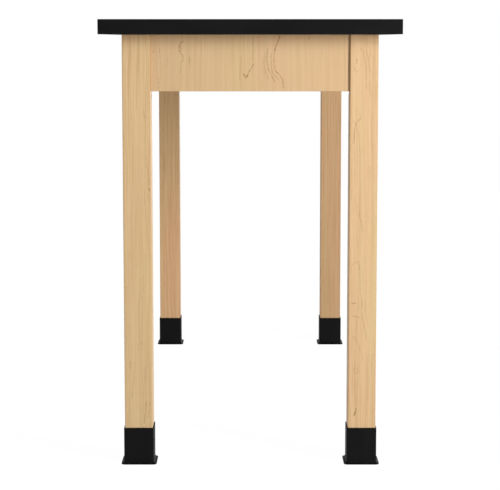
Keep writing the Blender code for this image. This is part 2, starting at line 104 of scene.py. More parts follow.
# %% A socket that takes part in Python expressions
class Field:
    """One output of a finish's node tree. Arithmetic on it adds Math nodes."""

    def __init__(self, finish, socket):
        self.finish = finish
        self.socket = socket

    def math(self, operation, *values):
        return self.finish.node("ShaderNodeMath", {"operation": operation}, dict(enumerate(values)))

    def __add__(self, other):
        return self.math("ADD", self, other)

    def __sub__(self, other):
        return self.math("SUBTRACT", self, other)

    def __rsub__(self, other):
        return self.math("SUBTRACT", other, self)

    def __mul__(self, other):
        return self.math("MULTIPLY", self, other)

    def __truediv__(self, other):
        return self.math("DIVIDE", self, other)

    def __rtruediv__(self, other):
        return self.math("DIVIDE", other, self)

    __radd__ = __add__
    __rmul__ = __mul__

    def abs(self):
        return self.math("ABSOLUTE", self)

    def least(self, other):
        return self.math("MINIMUM", self, other)

    def most(self, other):
        return self.math("MAXIMUM", self, other)

    def root(self):
        return self.math("SQRT", self)

    def wrapped(self):
        return self.math("FRACT", self)

    def step(self, start, end):
        """A smooth step: 0 at start, 1 at end. Start may be the larger."""
        settings = {"interpolation_type": "SMOOTHSTEP"}
        values = {0: self, 1: start, 2: end, 3: 0.0, 4: 1.0}
        return self.finish.node("ShaderNodeMapRange", settings, values)


print("sockets can be added, multiplied and stepped")

# %% [markdown]
# ## A finish as a recipe
# A recipe writes a node tree from top to bottom. One method adds any node, and a few short ones
# stand for the nodes that wood, steel and plastic all need. A finish is the recipe of a material:
# its constants go on the shader's own sockets, and paint links only what varies over the surface.

# %% Recipes
class Recipe:
    """A node tree being written, with helpers that add nodes to it."""

    def __init__(self, owner):
        owner.use_nodes = True
        self.tree = owner.node_tree

    def node(self, kind, settings=None, values=None, output=0):
        """Adds any node: its settings first, then the values or links of its sockets."""
        node = self.tree.nodes.new(kind)
        for key, value in (settings or {}).items():
            setattr(node, key, value)
        for key, value in (values or {}).items():
            if isinstance(value, Field):
                self.tree.links.new(value.socket, node.inputs[key])
            else:
                node.inputs[key].default_value = value
        return Field(self, node.outputs[output])

    def place(self):
        return self.node("ShaderNodeTexCoord", output="Object")

    def parts(self, vector):
        split = self.node("ShaderNodeSeparateXYZ", values={0: vector})
        return [Field(self, output) for output in split.socket.node.outputs]

    def vector(self, x, y, z):
        return self.node("ShaderNodeCombineXYZ", values={0: x, 1: y, 2: z})

    def vector_math(self, operation, *values, output=0):
        sockets = dict(enumerate(values))
        return self.node("ShaderNodeVectorMath", {"operation": operation}, sockets, output)

    def noise(self, vector, detail=2.0, roughness=0.5):
        values = {"Vector": vector, "Scale": 1.0, "Detail": detail, "Roughness": roughness}
        return self.node("ShaderNodeTexNoise", values=values)

    def grain(self, place, per_metre, detail=2.0, roughness=0.5):
        """A noise with so many grains to the metre along x, y and z."""
        return self.noise(self.vector_math("MULTIPLY", place, per_metre), detail, roughness)

    def blend(self, mask, first, second):
        """A colour that goes from first to second as the mask goes from 0 to 1."""
        settings = {"data_type": "RGBA"}
        return self.node("ShaderNodeMix", settings, {0: mask, 6: first, 7: second}, output=2)

    def pass_through(self, mask, first, second, output):
        """Ends the tree in two shaders mixed by a mask."""
        mixed = self.node("ShaderNodeMixShader", values={0: mask, 1: first, 2: second})
        self.tree.links.new(mixed.socket, self.tree.nodes[output].inputs["Surface"])


print("a recipe can add nodes and link them")

# %% Finishes and colours
class Finish(Recipe):
    """A material: a Principled shader, and what varies over its surface."""

    def __init__(self, name, **constants):
        self.material = bpy.data.materials.new(name)
        super().__init__(self.material)
        self.shader = self.tree.nodes["Principled BSDF"]
        for socket, value in constants.items():
            self.shader.inputs[socket.replace("_", " ")].default_value = value

    def paint(self, **links):
        """Links what varies over the surface to the shader's own sockets."""
        for socket, field in links.items():
            self.tree.links.new(field.socket, self.shader.inputs[socket.replace("_", " ")])

    def bump(self, height, distance, strength=1.0):
        values = {"Height": height, "Distance": distance, "Strength": strength}
        self.paint(Normal=self.node("ShaderNodeBump", values=values))


def colour(red, green, blue):
    """A colour from the 0 to 255 values of a picture, made linear as shaders want it."""
    def linear(value):
        value = value / 255
        return value / 12.92 if value <= 0.04045 else ((value + 0.055) / 1.055) ** 2.4
    return (linear(red), linear(green), linear(blue), 1.0)


print("a grey of 128 is", round(colour(128, 128, 128)[0], 3), "in linear light")

# %% [markdown]
# ## Lines drawn in wood
# A mineral streak or the outline of a knot is a thin stain along a crooked path. An image would
# fix its sharpness, and noise alone would put it anywhere. Here the shader works out its distance
# to each stretch of a route of points and keeps the least, and a noise lets the line waver.

# %% A mask of drawn lines
MILLIMETRE = 0.001
MARK_WAVER = 2.0 * MILLIMETRE   # reach of the noise that bends a line
MARK_GONE = 1.3                 # a line has faded out at this share of its width,
MARK_FULL = 0.3                 # and is full up to this one


def along_marks(finish, sideways, upwards, marks):
    """A mask of thin stains that waver and break up a little, as a stain in wood does. Each is
    a route of (side, height) points and a width, in millimetres, and a strength."""
    grit = finish.noise(finish.vector(sideways * 320.0, upwards * 200.0, 0.0), 1.0)
    ink = finish.noise(finish.vector(sideways * 300.0, upwards * 190.0, 7.0), 1.0)
    stain = 0.62 + ink.step(0.42, 0.58) * 0.60
    here = finish.vector(sideways + (grit - 0.5) * MARK_WAVER, upwards, 0.0)
    mask = None
    for route, width, strength in marks:
        nearest = None
        for start, end in zip(route, route[1:]):
            x0, y0, x1, y1 = (value * MILLIMETRE for value in start + end)
            length_squared = (x1 - x0) ** 2 + (y1 - y0) ** 2
            offset = finish.vector_math("SUBTRACT", here, (x0, y0, 0.0))
            run = (x1 - x0, y1 - y0, 0.0)
            share = finish.vector_math("DOT_PRODUCT", offset, run, output="Value") / length_squared
            share = share.least(1.0).most(0.0)
            foot = finish.node("ShaderNodeVectorMath", {"operation": "SCALE"}, {0: run, 3: share})
            away = finish.vector_math("SUBTRACT", offset, foot)
            distance = finish.vector_math("LENGTH", away, output="Value")
            nearest = distance if nearest is None else nearest.least(distance)
        width *= MILLIMETRE
        line = nearest.step(width * MARK_GONE, width * MARK_FULL) * strength
        mask = line if mask is None else mask.most(line)
    return mask * stain


print("drawn lines fade out over", MARK_GONE - MARK_FULL, "of their width")

# %% [markdown]
# ## Maple
# The legs and aprons are pale maple under a clear satin lacquer. Maple is a plain wood: its growth
# rings show as faint darker lines, between them run fine fibres that bend and gather in bundles,
# and broad drifts lead from a yellower to a pinker tone. The legs' eased edges get a little painted
# shade, and the wood just under the worktop a painted shadow of its overhang. An image would repeat
# and stretch, and it would show no rings on the ends. A solid wood is better cut from a field of
# rings round a pith line: each face then shows what such a cut would show. The grain runs up the
# legs and, as the photograph shows, the end aprons. It runs along the side aprons.

# %% The maple of this table
RING_SPACING = 0.0052
RING_WANDER, RING_RIPPLE = 0.040, 0.006   # reach of the noises that bend the rings, in metres
FIBRE_BEND = 0.012                        # and of the one that bends the fibres
MAPLE_YELLOW = colour(224, 192, 142)
MAPLE_PINK = colour(227, 187, 144)
MAPLE_LINE = colour(182, 130, 80)
MAPLE_MARK = colour(144, 94, 50)
EDGE_SHADE_STRENGTH = 0.34                   # how far painted shade darkens the eased edges
EDGE_SHADE_SPAN = (0.0020, 0.0009)       # the painted edge shade starts and is full this far from an edge
OVERHANG_SHADE_STRENGTH = 0.24                   # how far a painted shadow of the overhang darkens the wood just under the worktop
OVERHANG_SHADE_SPAN = (0.024, 0.006)        # the painted shadow starts and is full this far below a board's top
MARKED_SKIN = (0.004, 0.001)       # the marks end and are full at these depths in the near face


print("maple rings", RING_SPACING * 1000, "mm apart")


# %% Maple cut from a field of growth rings
def near_ends(value, start, end):
    """1 in the last millimetre before either end of a board's width, and 0 between them."""
    half = (end - start) / 2
    return (value - (start + end) / 2).abs().step(half - EDGE_SHADE_SPAN[0], half - EDGE_SHADE_SPAN[1])


def maple(board, grain, shift, pith, tone, figure, colour_and_light, marks):
    """A maple finish. Grain is the axis that the fibres follow, and shift moves the board in the log.
    Tone leans it from yellow towards pink, figure is how lively its lines and drifts are, and
    colour_and_light is the board's own colour beside its neighbours, and partly painted light and
    shade that brightens some boards and dims others. The drawn marks lie only on its near face."""
    yellow, pink, line = (tuple(c * t for c, t in zip(wood, colour_and_light + (1.0,)))
                          for wood in (MAPLE_YELLOW, MAPLE_PINK, MAPLE_LINE))
    finish = Finish("maple_" + board, Specular_IOR_Level=0.35, Coat_Weight=0.06, Coat_Roughness=0.32)
    low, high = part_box(board)
    x, y, z = finish.parts(finish.place())
    across, depth, along = {"Z": (x, y, z), "Y": (z, x, y)}[grain]
    across, depth, along = across + shift[0], depth + shift[1], along + shift[2]

    def fibres(per_metre_across, per_metre_along, detail=2.0, roughness=0.5):
        vector = finish.vector(
            across * per_metre_across, depth * per_metre_across, along * per_metre_along)
        return finish.noise(vector, detail, roughness)

    bend = (fibres(12.0, 4.0, 1.0) - 0.5) * FIBRE_BEND
    across, depth = across + bend, depth + bend * 0.6
    wander = (fibres(7.0, 1.3) - 0.5) * RING_WANDER + (fibres(30.0, 5.0) - 0.5) * RING_RIPPLE
    from_pith = (across + pith[0] + wander, depth + pith[1] + wander * 0.6)
    ring = (from_pith[0] * from_pith[0] + from_pith[1] * from_pith[1]).root() / RING_SPACING
    late_wood = ring.wrapped().step(0.50, 0.92) * ring.wrapped().step(1.0, 0.95)
    rings = late_wood * fibres(24.0, 2.0).step(0.35, 0.75)

    drift = fibres(16.0, 1.6) * 0.6 + fibres(60.0, 2.5) * 0.4
    streaks = fibres(170.0, 3.5, 3.0)
    hair = fibres(420.0, 7.0, 1.0)
    fine = fibres(900.0, 12.0, 2.0)
    flecks = fibres(430.0, 45.0, 0.0).step(0.62, 0.80)
    pores = fibres(1500.0, 110.0, 0.0).step(0.66, 0.80)
    mineral = fibres(90.0, 4.0, 1.0).step(0.64, 0.80)

    body = finish.blend(((drift + tone - 0.5) * figure + 0.5).step(0.34, 0.66), yellow, pink)
    bundles = 0.45 + fibres(15.0, 2.2, 1.0).step(0.42, 0.60) * 1.05
    threads = ((hair - 0.5) * 0.54 + (fine - 0.5) * 0.20) * bundles
    lines = (rings * 0.16 + (streaks - 0.5) * 0.62 + threads + flecks * 0.10 + pores * 0.10
             + mineral * 0.12)
    wood = finish.blend(0.12 + lines * figure, body, line)
    if marks:
        skin = y.step(low.y + MARKED_SKIN[0], low.y + MARKED_SKIN[1])
        shown = along_marks(finish, x, z, marks) * skin
        wood = finish.blend(shown, wood, MAPLE_MARK)
    # painted shadow of the worktop's overhang: each board darkens towards its top
    shade_below_top = z.step(high.z - OVERHANG_SHADE_SPAN[0], high.z - OVERHANG_SHADE_SPAN[1])
    wood = finish.blend(shade_below_top * OVERHANG_SHADE_STRENGTH, wood, line)
    # painted shade on the legs' four eased edges, which dims the light that the rounded edges catch
    if grain == "Z":
        shaded_edges = near_ends(x, low.x, high.x) * near_ends(y, low.y, high.y)
        wood = finish.blend(shaded_edges * EDGE_SHADE_STRENGTH, wood, line)
    finish.paint(Base_Color=wood, Roughness=0.47 + fine * 0.10 + rings * 0.05)
    finish.bump(fine * 0.6 + pores * -0.8 + rings * -0.3, 0.00006)
    return finish.material


print("maple ready to be cut")

# %% [markdown]
# ## The marks that this near end shows
# No two boards are alike, and some marks on the near end are clear enough to know this table by.
# The apron has a mineral streak that steps sideways as it falls, the fine curves beside it, a tick
# and a small curl. The right leg has a long line like a wishbone, a hook and a small knot, and the
# left leg has a few fainter lines. They could be left to chance noise, but then they would land
# anywhere. So each is a route of points and a width, in millimetres, and a strength.
# Two broad, faint lines among them are painted shade: one on the apron in the corner beside the left
# leg, and one along the left leg's outer eased edge.

# %% Routes of the marks, as (millimetres from the middle, millimetres above the floor)
STREAK = [(59.3, 884.0), (59.0, 877.5), (53.0, 863.2), (49.0, 850.0), (48.1, 840.0),
          (48.5, 822.0), (50.8, 810.6), (58.3, 803.9), (64.2, 795.6), (66.0, 787.0), (66.8, 778.0)]


def beside(route, shift, keep, rise):
    """A fainter line that follows part of a route from one side."""
    return [(x + shift, z + rise) for x, z in route[keep]]


APRON_MARKS = [
    (STREAK, 1.1, 0.45),
    (STREAK[:4], 1.6, 0.58),
    (STREAK[6:], 1.4, 0.48),
    (beside(STREAK, -6.0, slice(3, 9), -4.0), 1.2, 0.33),
    ([(34.9, 856.0), (33.1, 833.2), (36.8, 814.5), (44.3, 799.4), (50.0, 788.1)], 1.6, 0.33),
    ([(29.0, 848.0), (28.0, 826.0), (31.0, 808.0), (37.0, 795.0)], 1.4, 0.20),
    ([(24.0, 842.0), (25.0, 815.0), (29.0, 800.0)], 1.2, 0.16),
    ([(-13.2, 804.5), (-8.3, 796.8), (-5.5, 802.0)], 1.6, 0.70),
    ([(-8.3, 796.8), (-1.8, 810.6), (4.0, 819.5), (6.7, 824.6)], 1.2, 0.55),
    ([(4.8, 876.0), (5.2, 860.0), (5.0, 833.0)], 1.2, 0.28),
    ([(-135.1, 869.5), (-140.0, 867.9), (-142.1, 863.1), (-143.0, 856.9), (-142.2, 850.2)], 1.7, 0.60),
    ([(-142.2, 850.2), (-140.1, 844.9), (-136.3, 842.8), (-135.5, 835.5), (-137.5, 829.9)], 1.4, 0.42),
    ([(-138.4, 852.9), (-140.0, 860.4)], 1.1, 0.24),
    ([(-139.6, 829.4), (-140.8, 806.9)], 1.2, 0.26),
    ([(-122.6, 839.0), (-123.2, 824.8)], 1.4, 0.34),
    ([(-194.9, 852.4), (-195.5, 847.0)], 1.3, 0.30),
    ([(-183.3, 856.1), (-182.6, 848.1)], 1.3, 0.28),
    ([(-182.6, 848.1), (-180.3, 823.5), (-180.2, 804.7), (-183.5, 785.4)], 1.2, 0.15),
    ([(-166.8, 836.9), (-166.0, 822.9)], 1.2, 0.15),
    ([(-16.8, 840.1), (-20.6, 814.9), (-21.7, 791.3)], 1.2, 0.16),
    ([(-190.0, 878.0), (-189.5, 850.0), (-188.0, 800.0), (-185.0, 772.0)], 1.0, 0.18),
    ([(119.0, 884.0), (118.0, 874.5)], 1.4, 0.33),
    # painted shade: a broad faint darkening of the apron in the corner beside the left leg
    ([(-197.5, 884.0), (-196.5, 772.0)], 9.0, 0.04),
]
RIGHT_LEG_MARKS = [
    ([(215.0, 835.0), (214.3, 825.5)], 1.3, 0.36),
    ([(210.3, 816.5), (211.8, 811.0), (214.8, 807.5), (219.5, 812.5)], 1.0, 0.27),
    ([(221.2, 858.0), (227.1, 850.0), (230.4, 835.5), (234.2, 816.5), (234.2, 792.0),
      (234.8, 776.5)], 1.2, 0.22),
    ([(234.2, 853.0), (238.1, 835.5), (239.5, 820.5), (241.3, 807.5)], 1.2, 0.25),
    ([(241.9, 858.0), (242.7, 835.5)], 1.0, 0.21),
    ([(241.3, 789.5), (243.0, 761.0)], 1.1, 0.23),
    ([(224.1, 722.0), (224.3, 714.5)], 1.0, 0.28),
    ([(223.8, 715.2), (219.3, 710.9), (214.3, 705.8), (212.3, 695.7), (210.9, 681.8),
      (210.5, 664.0)], 1.2, 0.42),
    ([(215.3, 699.5), (218.2, 686.8), (220.0, 676.7), (221.7, 659.0), (222.9, 641.2),
      (222.5, 620.9), (222.2, 595.4), (223.4, 575.0), (222.7, 529.0)], 1.0, 0.17),
    ([(222.7, 529.0), (223.3, 513.7), (226.5, 503.4), (228.6, 485.5)], 1.1, 0.32),
    ([(209.2, 710.9), (213.0, 702.5)], 1.1, 0.28),
    ([(241.1, 618.3), (243.9, 608.1), (243.0, 594.1)], 1.0, 0.24),
    ([(208.7, 416.5), (213.6, 419.9), (219.4, 423.2), (222.5, 420.6), (223.4, 407.0)], 1.1, 0.36),
    ([(224.2, 405.7), (225.5, 359.1), (228.7, 341.0), (230.9, 328.0)], 1.0, 0.22),
    ([(208.8, 336.3), (216.7, 337.1)], 1.3, 0.46),
    ([(210.0, 309.3), (215.1, 310.9), (218.7, 307.8), (223.9, 307.3)], 1.2, 0.40),
    ([(228.7, 341.0), (227.9, 322.9), (231.1, 302.1), (236.9, 278.7), (239.1, 260.4)], 1.1, 0.28),
    ([(235.9, 341.0), (237.7, 312.5), (242.0, 289.1)], 1.0, 0.20),
    ([(217.0, 299.5), (218.9, 286.5), (215.9, 274.8)], 1.0, 0.22),
    ([(210.3, 268.2), (217.3, 256.5)], 1.0, 0.22),
    ([(214.7, 269.5), (224.4, 244.8), (231.7, 221.3)], 1.0, 0.24),
    ([(219.5, 201.7), (222.7, 196.4), (219.6, 190.4), (213.9, 191.5), (212.9, 198.8),
      (216.4, 202.4)], 1.0, 0.26),
    ([(249.2, 229.1), (250.6, 187.3)], 1.1, 0.22),
    ([(242.2, 203.0), (242.8, 134.8)], 1.0, 0.16),
    ([(218.4, 115.8), (216.6, 107.9), (214.6, 102.7)], 1.8, 0.62),
    ([(249.0, 840.0), (251.2, 560.0), (253.0, 80.0)], 5.0, 0.06),
]
LEFT_LEG_MARKS = [
    ([(-215.5, 730.0), (-213.0, 716.0)], 1.6, 0.28),
    ([(-214.2, 719.7), (-212.6, 699.5), (-213.3, 674.2), (-212.2, 620.9), (-206.7, 605.6),
      (-204.3, 580.1)], 1.1, 0.17),
    ([(-205.9, 572.5), (-204.9, 567.4)], 1.6, 0.50),
    ([(-208.5, 562.3), (-206.1, 546.9)], 1.1, 0.20),
    ([(-224.1, 390.2), (-224.9, 351.4), (-229.6, 333.2), (-229.8, 307.3), (-227.5, 281.3),
      (-229.3, 239.6)], 1.0, 0.17),
    ([(-236.8, 213.4), (-239.9, 176.8), (-244.6, 137.4)], 1.0, 0.20),
    ([(-219.4, 395.3), (-221.1, 312.5), (-222.7, 239.6)], 1.0, 0.12),
    ([(-246.5, 216.0), (-246.6, 201.7)], 1.2, 0.28),
    ([(-214.4, 132.1), (-216.4, 108.5), (-219.2, 86.1)], 1.2, 0.34),
    ([(-207.0, 129.5), (-210.8, 97.9)], 1.2, 0.26),
    ([(-215.2, 203.0), (-217.0, 174.2)], 1.0, 0.22),
    # painted shade: a faint line along the leg's outer eased edge
    ([(-256.0, 880.0), (-255.0, 80.0)], 2.2, 0.10),
]
print("marks on the near end:", len(APRON_MARKS) + len(RIGHT_LEG_MARKS) + len(LEFT_LEG_MARKS))

# %% [markdown]
# ## The boards of the frame
# Four legs and four aprons are eight boards, and a maker picks them from a pile. With one material
# they would all look sawn from one place, and the figure would run on across the joints. So each
# board lies at its own place in the log, and has its own tone, liveliness and colour. That colour
# is also painted light and shade: it brightens some boards and dims others as a whole.


def finish_node(node, material):
    """Gives a carried CAD node its finish."""
    slots = cad_nodes[node].data.materials
    slots.clear()
    slots.append(material)


# the grain's axis, the place in the log, the pith, tone, figure, colour_and_light (own colour and
# painted light and shade) and marks
MAPLE_BOARDS = {
    "leg_near_left": ("Z", (0.00, 0.00, 0.0), (0.075, 0.080), -0.10, 1.0, (1.09, 1.11, 1.13),
                      LEFT_LEG_MARKS),
    "leg_near_right": ("Z", (1.37, 0.21, 3.1), (-1.27, 0.35), 0.06, 1.05, (1.05, 1.10, 1.09),
                       RIGHT_LEG_MARKS),
    "leg_far_right": ("Z", (2.11, 5.43, 1.7), (-2.02, -5.9), 0.04, 1.1, (0.99, 0.935, 0.88), ()),
    "leg_far_left": ("Z", (4.32, 3.17, 4.9), (-4.0, -3.7), -0.02, 1.2, (1.17, 1.10, 1.06), ()),
    "apron_near_end": ("Z", (7.50, 1.20, 8.3), (-7.58, -0.35), 0.00, 0.58, (1.01, 1.035, 1.06),
                       APRON_MARKS),
    "apron_far_end": ("Z", (9.10, 2.40, 2.6), (-9.05, -3.0), 0.03, 0.8, (1.0, 1.0, 1.0), ()),
    "apron_left_side": ("Y", (3.70, 6.60, 6.1), (-4.4, -6.2), -0.03, 0.8, (1.0, 1.0, 1.0), ()),
    "apron_right_side": ("Y", (5.90, 8.80, 0.4), (-6.6, -9.2), 0.05, 0.8, (1.0, 1.0, 1.0), ()),
}
for node, board in MAPLE_BOARDS.items():
    finish_node(node, maple(node, *board))
print("maple boards:", len(MAPLE_BOARDS))

# %% [markdown]
# ## The black worktop
# The worktop is a chipboard core with a black chemical-resistant laminate on top, a thin black
# backing below and a thick black band on each edge. A flat black would look like a hole. Real
# laminate has a pressed texture of fine pits that breaks up its reflections, and its gloss drifts
# a little from place to place. The band is extruded plastic, a shade lighter and smoother.

# %% Laminate
def laminate():
    finish = Finish("black_laminate", Specular_IOR_Level=0.22)
    here = finish.place()
    pits = finish.grain(here, (900.0, 900.0, 900.0), 2.0, 0.6)
    cloud = finish.grain(here, (5.0, 3.0, 5.0), 3.0)
    speck = finish.grain(here, (420.0, 420.0, 420.0), 0.0).step(0.70, 0.78)
    base = finish.blend(cloud.step(0.3, 0.7), colour(17, 17, 18), colour(22, 22, 22))
    finish.paint(Base_Color=finish.blend(speck * 0.35, base, colour(48, 48, 49)),
                 Roughness=0.50 + cloud * 0.14 + pits * 0.06)
    finish.bump(pits, 0.00012, 0.6)
    return finish.material


finish_node("top_laminate", laminate())
print("laminate on the worktop")


# %% Edge band and backing
def edge_band():
    finish = Finish("black_edge_band", Specular_IOR_Level=0.09)
    here = finish.place()
    grain = finish.grain(here, (260.0, 260.0, 700.0), 2.0, 0.55)
    cloud = finish.grain(here, (9.0, 9.0, 30.0))
    finish.paint(Base_Color=finish.blend(cloud.step(0.3, 0.7), colour(17, 17, 17), colour(21, 21, 21)),
                 Roughness=0.42 + grain * 0.12)
    finish.bump(grain, 0.00006, 0.5)
    return finish.material


def backing():
    finish = Finish("black_backing", Specular_IOR_Level=0.25)
    here = finish.place()
    paper = finish.grain(here, (160.0, 60.0, 160.0), 4.0, 0.65)
    shade = finish.blend(paper.step(0.25, 0.75), colour(20, 19, 18), colour(34, 32, 30))
    finish.paint(Base_Color=shade, Roughness=0.62 + paper * 0.15)
    finish.bump(paper, 0.00008, 0.5)
    return finish.material


finish_node("backing_sheet", backing())
BAND = edge_band()
for side in ("near_end", "far_end", "left_side", "right_side"):
    finish_node("edge_band_" + side, BAND)
print("edge band and backing on the worktop")

# %% [markdown]
# ## Chipboard, plated steel and nylon
# Chipboard shows only inside the worktop, but a part that is taken to bits should still look
# right: flat chips of wood in resin are cells of mixed browns. The brackets, bolts and glides are
# zinc plated: a metal shader, with the faint cloudy crystals of the zinc in its colour and
# roughness. The glides' pads are grey nylon with a moulded skin.

# %% Chipboard
def chipboard():
    finish = Finish("chipboard", Specular_IOR_Level=0.2)
    here = finish.place()
    stretched = finish.vector_math("MULTIPLY", here, (220.0, 220.0, 600.0))
    cells = {"Vector": stretched, "Scale": 1.0}
    chips = finish.node("ShaderNodeTexVoronoi", {"feature": "F1"}, cells, "Color")
    tone = finish.parts(chips)[0]
    edge = finish.node("ShaderNodeTexVoronoi", {"feature": "DISTANCE_TO_EDGE"}, cells, "Distance")
    chip = finish.blend(tone, colour(150, 116, 78), colour(205, 172, 126))
    finish.paint(Base_Color=finish.blend(edge.step(0.08, 0.0) * 0.6, chip, colour(96, 70, 44)),
                 Roughness=0.78 + tone * 0.12)
    finish.bump(edge, 0.0002, 0.4)
    return finish.material


finish_node("top_core", chipboard())
print("chipboard in the worktop")


# %% Zinc-plated steel, and nylon
def zinc():
    finish = Finish("zinc_plated_steel", Metallic=1.0)
    here = finish.place()
    crystals = finish.grain(here, (240.0, 240.0, 240.0), 3.0, 0.6)
    cloud = finish.grain(here, (38.0, 38.0, 38.0))
    rolled = finish.grain(here, (90.0, 90.0, 1600.0))
    base = finish.blend(cloud.step(0.3, 0.7), colour(196, 202, 210), colour(214, 212, 202))
    finish.paint(Base_Color=finish.blend(crystals.step(0.5, 0.8) * 0.3, base, colour(168, 174, 184)),
                 Roughness=0.24 + crystals * 0.16 + rolled * 0.06)
    finish.bump(rolled * 0.5 + crystals * 0.5, 0.00003, 0.5)
    return finish.material


def nylon():
    finish = Finish("grey_nylon", Specular_IOR_Level=0.45)
    skin = finish.grain(finish.place(), (700.0, 700.0, 700.0))
    finish.paint(Base_Color=finish.blend(skin, colour(118, 119, 120), colour(136, 136, 135)),
                 Roughness=0.45 + skin * 0.15)
    finish.bump(skin, 0.00005, 0.4)
    return finish.material


ZINC = zinc()
NYLON = nylon()
STEEL_NODES = ("corner_bracket", "leg_insert", "hanger_bolt", "flange_nut", "top_clip", "glide_stem")
for node in cad_nodes:
    if node.startswith(STEEL_NODES):
        finish_node(node, ZINC)
    if node.startswith("glide_pad"):
        finish_node(node, NYLON)
print("steel and nylon finished")

# %% [markdown]
# ## The boots
# Each leg stands in a moulded boot of pliable black vinyl: a thin square sleeve that runs out
# through a hollow cove into a thin flange on the floor. The CAD boot has the right sizes but few
# facets, and its cove would catch the light in steps. A boot could be boxed up and bevelled. It is
# simpler to draw its section once, round the section's corners, and take it round the leg: a
# straight extrusion along each side, and a quarter spin at each corner.

# %% A section with rounded corners
BORE_GAP = 0.0003        # between the leg and the sleeve
BORE_CORNER = 0.0006     # radius of the sleeve's inner corners
SLEEVE_WALL = 0.0018
FLANGE_THICKNESS = 0.0024
COVE_RADIUS = 0.0048
EDGE_RADIUS = 0.0006


def rounded_section(work, outline, radii, segments):
    """A flat face with some corners rounded, left as a loop of edges."""
    corners = [work.verts.new(point) for point in outline]
    work.faces.new(corners)
    for corner, radius, steps in zip(corners, radii, segments):
        if radius:
            bmesh.ops.bevel(work, geom=[corner], offset=radius, segments=steps, profile=0.5,
                            affect="VERTICES", offset_type="OFFSET", material=-1)
    edges = list(work.edges)
    bmesh.ops.delete(work, geom=list(work.faces), context="FACES_ONLY")
    return edges


print("a boot's wall is", SLEEVE_WALL * 1000, "mm and its flange", FLANGE_THICKNESS * 1000, "mm thick")


# %% The section, swept round a leg
def edges_in(geometry):
    """The edges among what an operator returned."""
    return [item for item in geometry if isinstance(item, bmesh.types.BMEdge)]


def boot(reach, height, bore):
    """A boot at the origin, from its flange's reach, its height and half of its bore."""
    work = bmesh.new()
    straight = bore - BORE_CORNER
    outline = [(bore + out, -straight, up) for out, up in (
        (0.0, 0.0), (reach, 0.0), (reach, FLANGE_THICKNESS), (SLEEVE_WALL, FLANGE_THICKNESS),
        (SLEEVE_WALL, height), (0.0, height))]
    radii = (0.0, EDGE_RADIUS, EDGE_RADIUS, COVE_RADIUS, EDGE_RADIUS, 0.0)
    ring = rounded_section(work, outline, radii, (0, 4, 4, 12, 4, 0))
    for quarter in range(4):
        turn = Matrix.Rotation(math.radians(90 * quarter), 3, "Z")
        grown = bmesh.ops.extrude_edge_only(work, edges=ring)["geom"]
        moved = [item for item in grown if isinstance(item, bmesh.types.BMVert)]
        bmesh.ops.translate(work, verts=moved, vec=turn @ Vector((0.0, 2 * straight, 0.0)))
        end_verts = set(moved)
        ring = [edge for edge in edges_in(grown) if set(edge.verts) <= end_verts]
        spun = bmesh.ops.spin(work, geom=ring + moved, cent=turn @ Vector((straight, straight, 0.0)),
                              axis=(0.0, 0.0, 1.0), angle=math.pi / 2, steps=8, use_duplicate=False)
        ring = edges_in(spun["geom_last"])
    bmesh.ops.remove_doubles(work, verts=work.verts, dist=1e-6)
    bmesh.ops.recalc_face_normals(work, faces=work.faces)
    return work


print("a boot can be swept in four straight runs and four quarter turns")


# %% Black vinyl
def vinyl():
    finish = Finish("black_vinyl", Specular_IOR_Level=0.10)
    here = finish.place()
    skin = finish.grain(here, (420.0, 420.0, 420.0), 3.0, 0.55)
    flow = finish.grain(here, (30.0, 30.0, 12.0))
    finish.paint(Base_Color=finish.blend(flow.step(0.3, 0.7), colour(12, 12, 13), colour(16, 16, 16)),
                 Roughness=0.56 + flow * 0.10 + skin * 0.06)
    finish.bump(skin * 0.6 + flow * 0.4, 0.00008, 0.5)
    return finish.material


VINYL = vinyl()
print("vinyl ready")

# %% [markdown]
# ## From a shape to a piece of the table
# A shape is drawn at the origin, and could be moved as an object. Its pattern would then slide in
# the exported model. So the place goes into the mesh, and the piece rides on the body that moves
# it. Angles over 35 degrees stay sharp, and the rest is shaded smooth.

# %% Pieces that ride on a body
SMOOTH_ANGLE = 35    # degrees


def as_mesh(work, name):
    """The shape as a mesh. The bmesh itself is let go."""
    mesh = bpy.data.meshes.new(name)
    work.to_mesh(mesh)
    work.free()
    return mesh


def to_piece(work, name, material, body, place):
    """Makes a bmesh into a piece of the table: placed in its mesh, finished, and riding on a body."""
    bmesh.ops.transform(work, matrix=place, verts=work.verts)
    mesh = as_mesh(work, name)
    mesh.materials.append(material)
    mesh.shade_smooth()
    mesh.set_sharp_from_angle(angle=math.radians(SMOOTH_ANGLE))
    piece = into_scene(name, mesh)
    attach(piece, body)
    return piece


for corner in CORNERS:
    low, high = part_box("leg_boot_" + corner)
    leg_low, leg_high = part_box("leg_" + corner)
    bore = (leg_high.x - leg_low.x) / 2 + BORE_GAP
    reach = (high.x - low.x) / 2 - bore
    work = boot(reach, high.z, bore)
    piece = to_piece(work, "moulded_boot_" + corner, VINYL, "boot_" + corner,
                     Matrix.Translation(LEG_AXIS[corner]))
    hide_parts("leg_boot_" + corner)
print("boot flange reaches", round(reach * 1000, 2), "mm past its bore")

# %% [markdown]
# ## Turned and threaded steel
# The steel parts are lathe work: a bolt, a screw or a glide's stem is an outline turned about an
# axis, with a thread rolled along it. A thread could be faked by a bump, but then its edge would
# stay straight, and it would be lost in a plain mesh. Here one tooth of the thread is spun many
# times round while it climbs by one pitch in each turn, so the turns join to one right-hand
# helix. The ends are then cut square and closed.

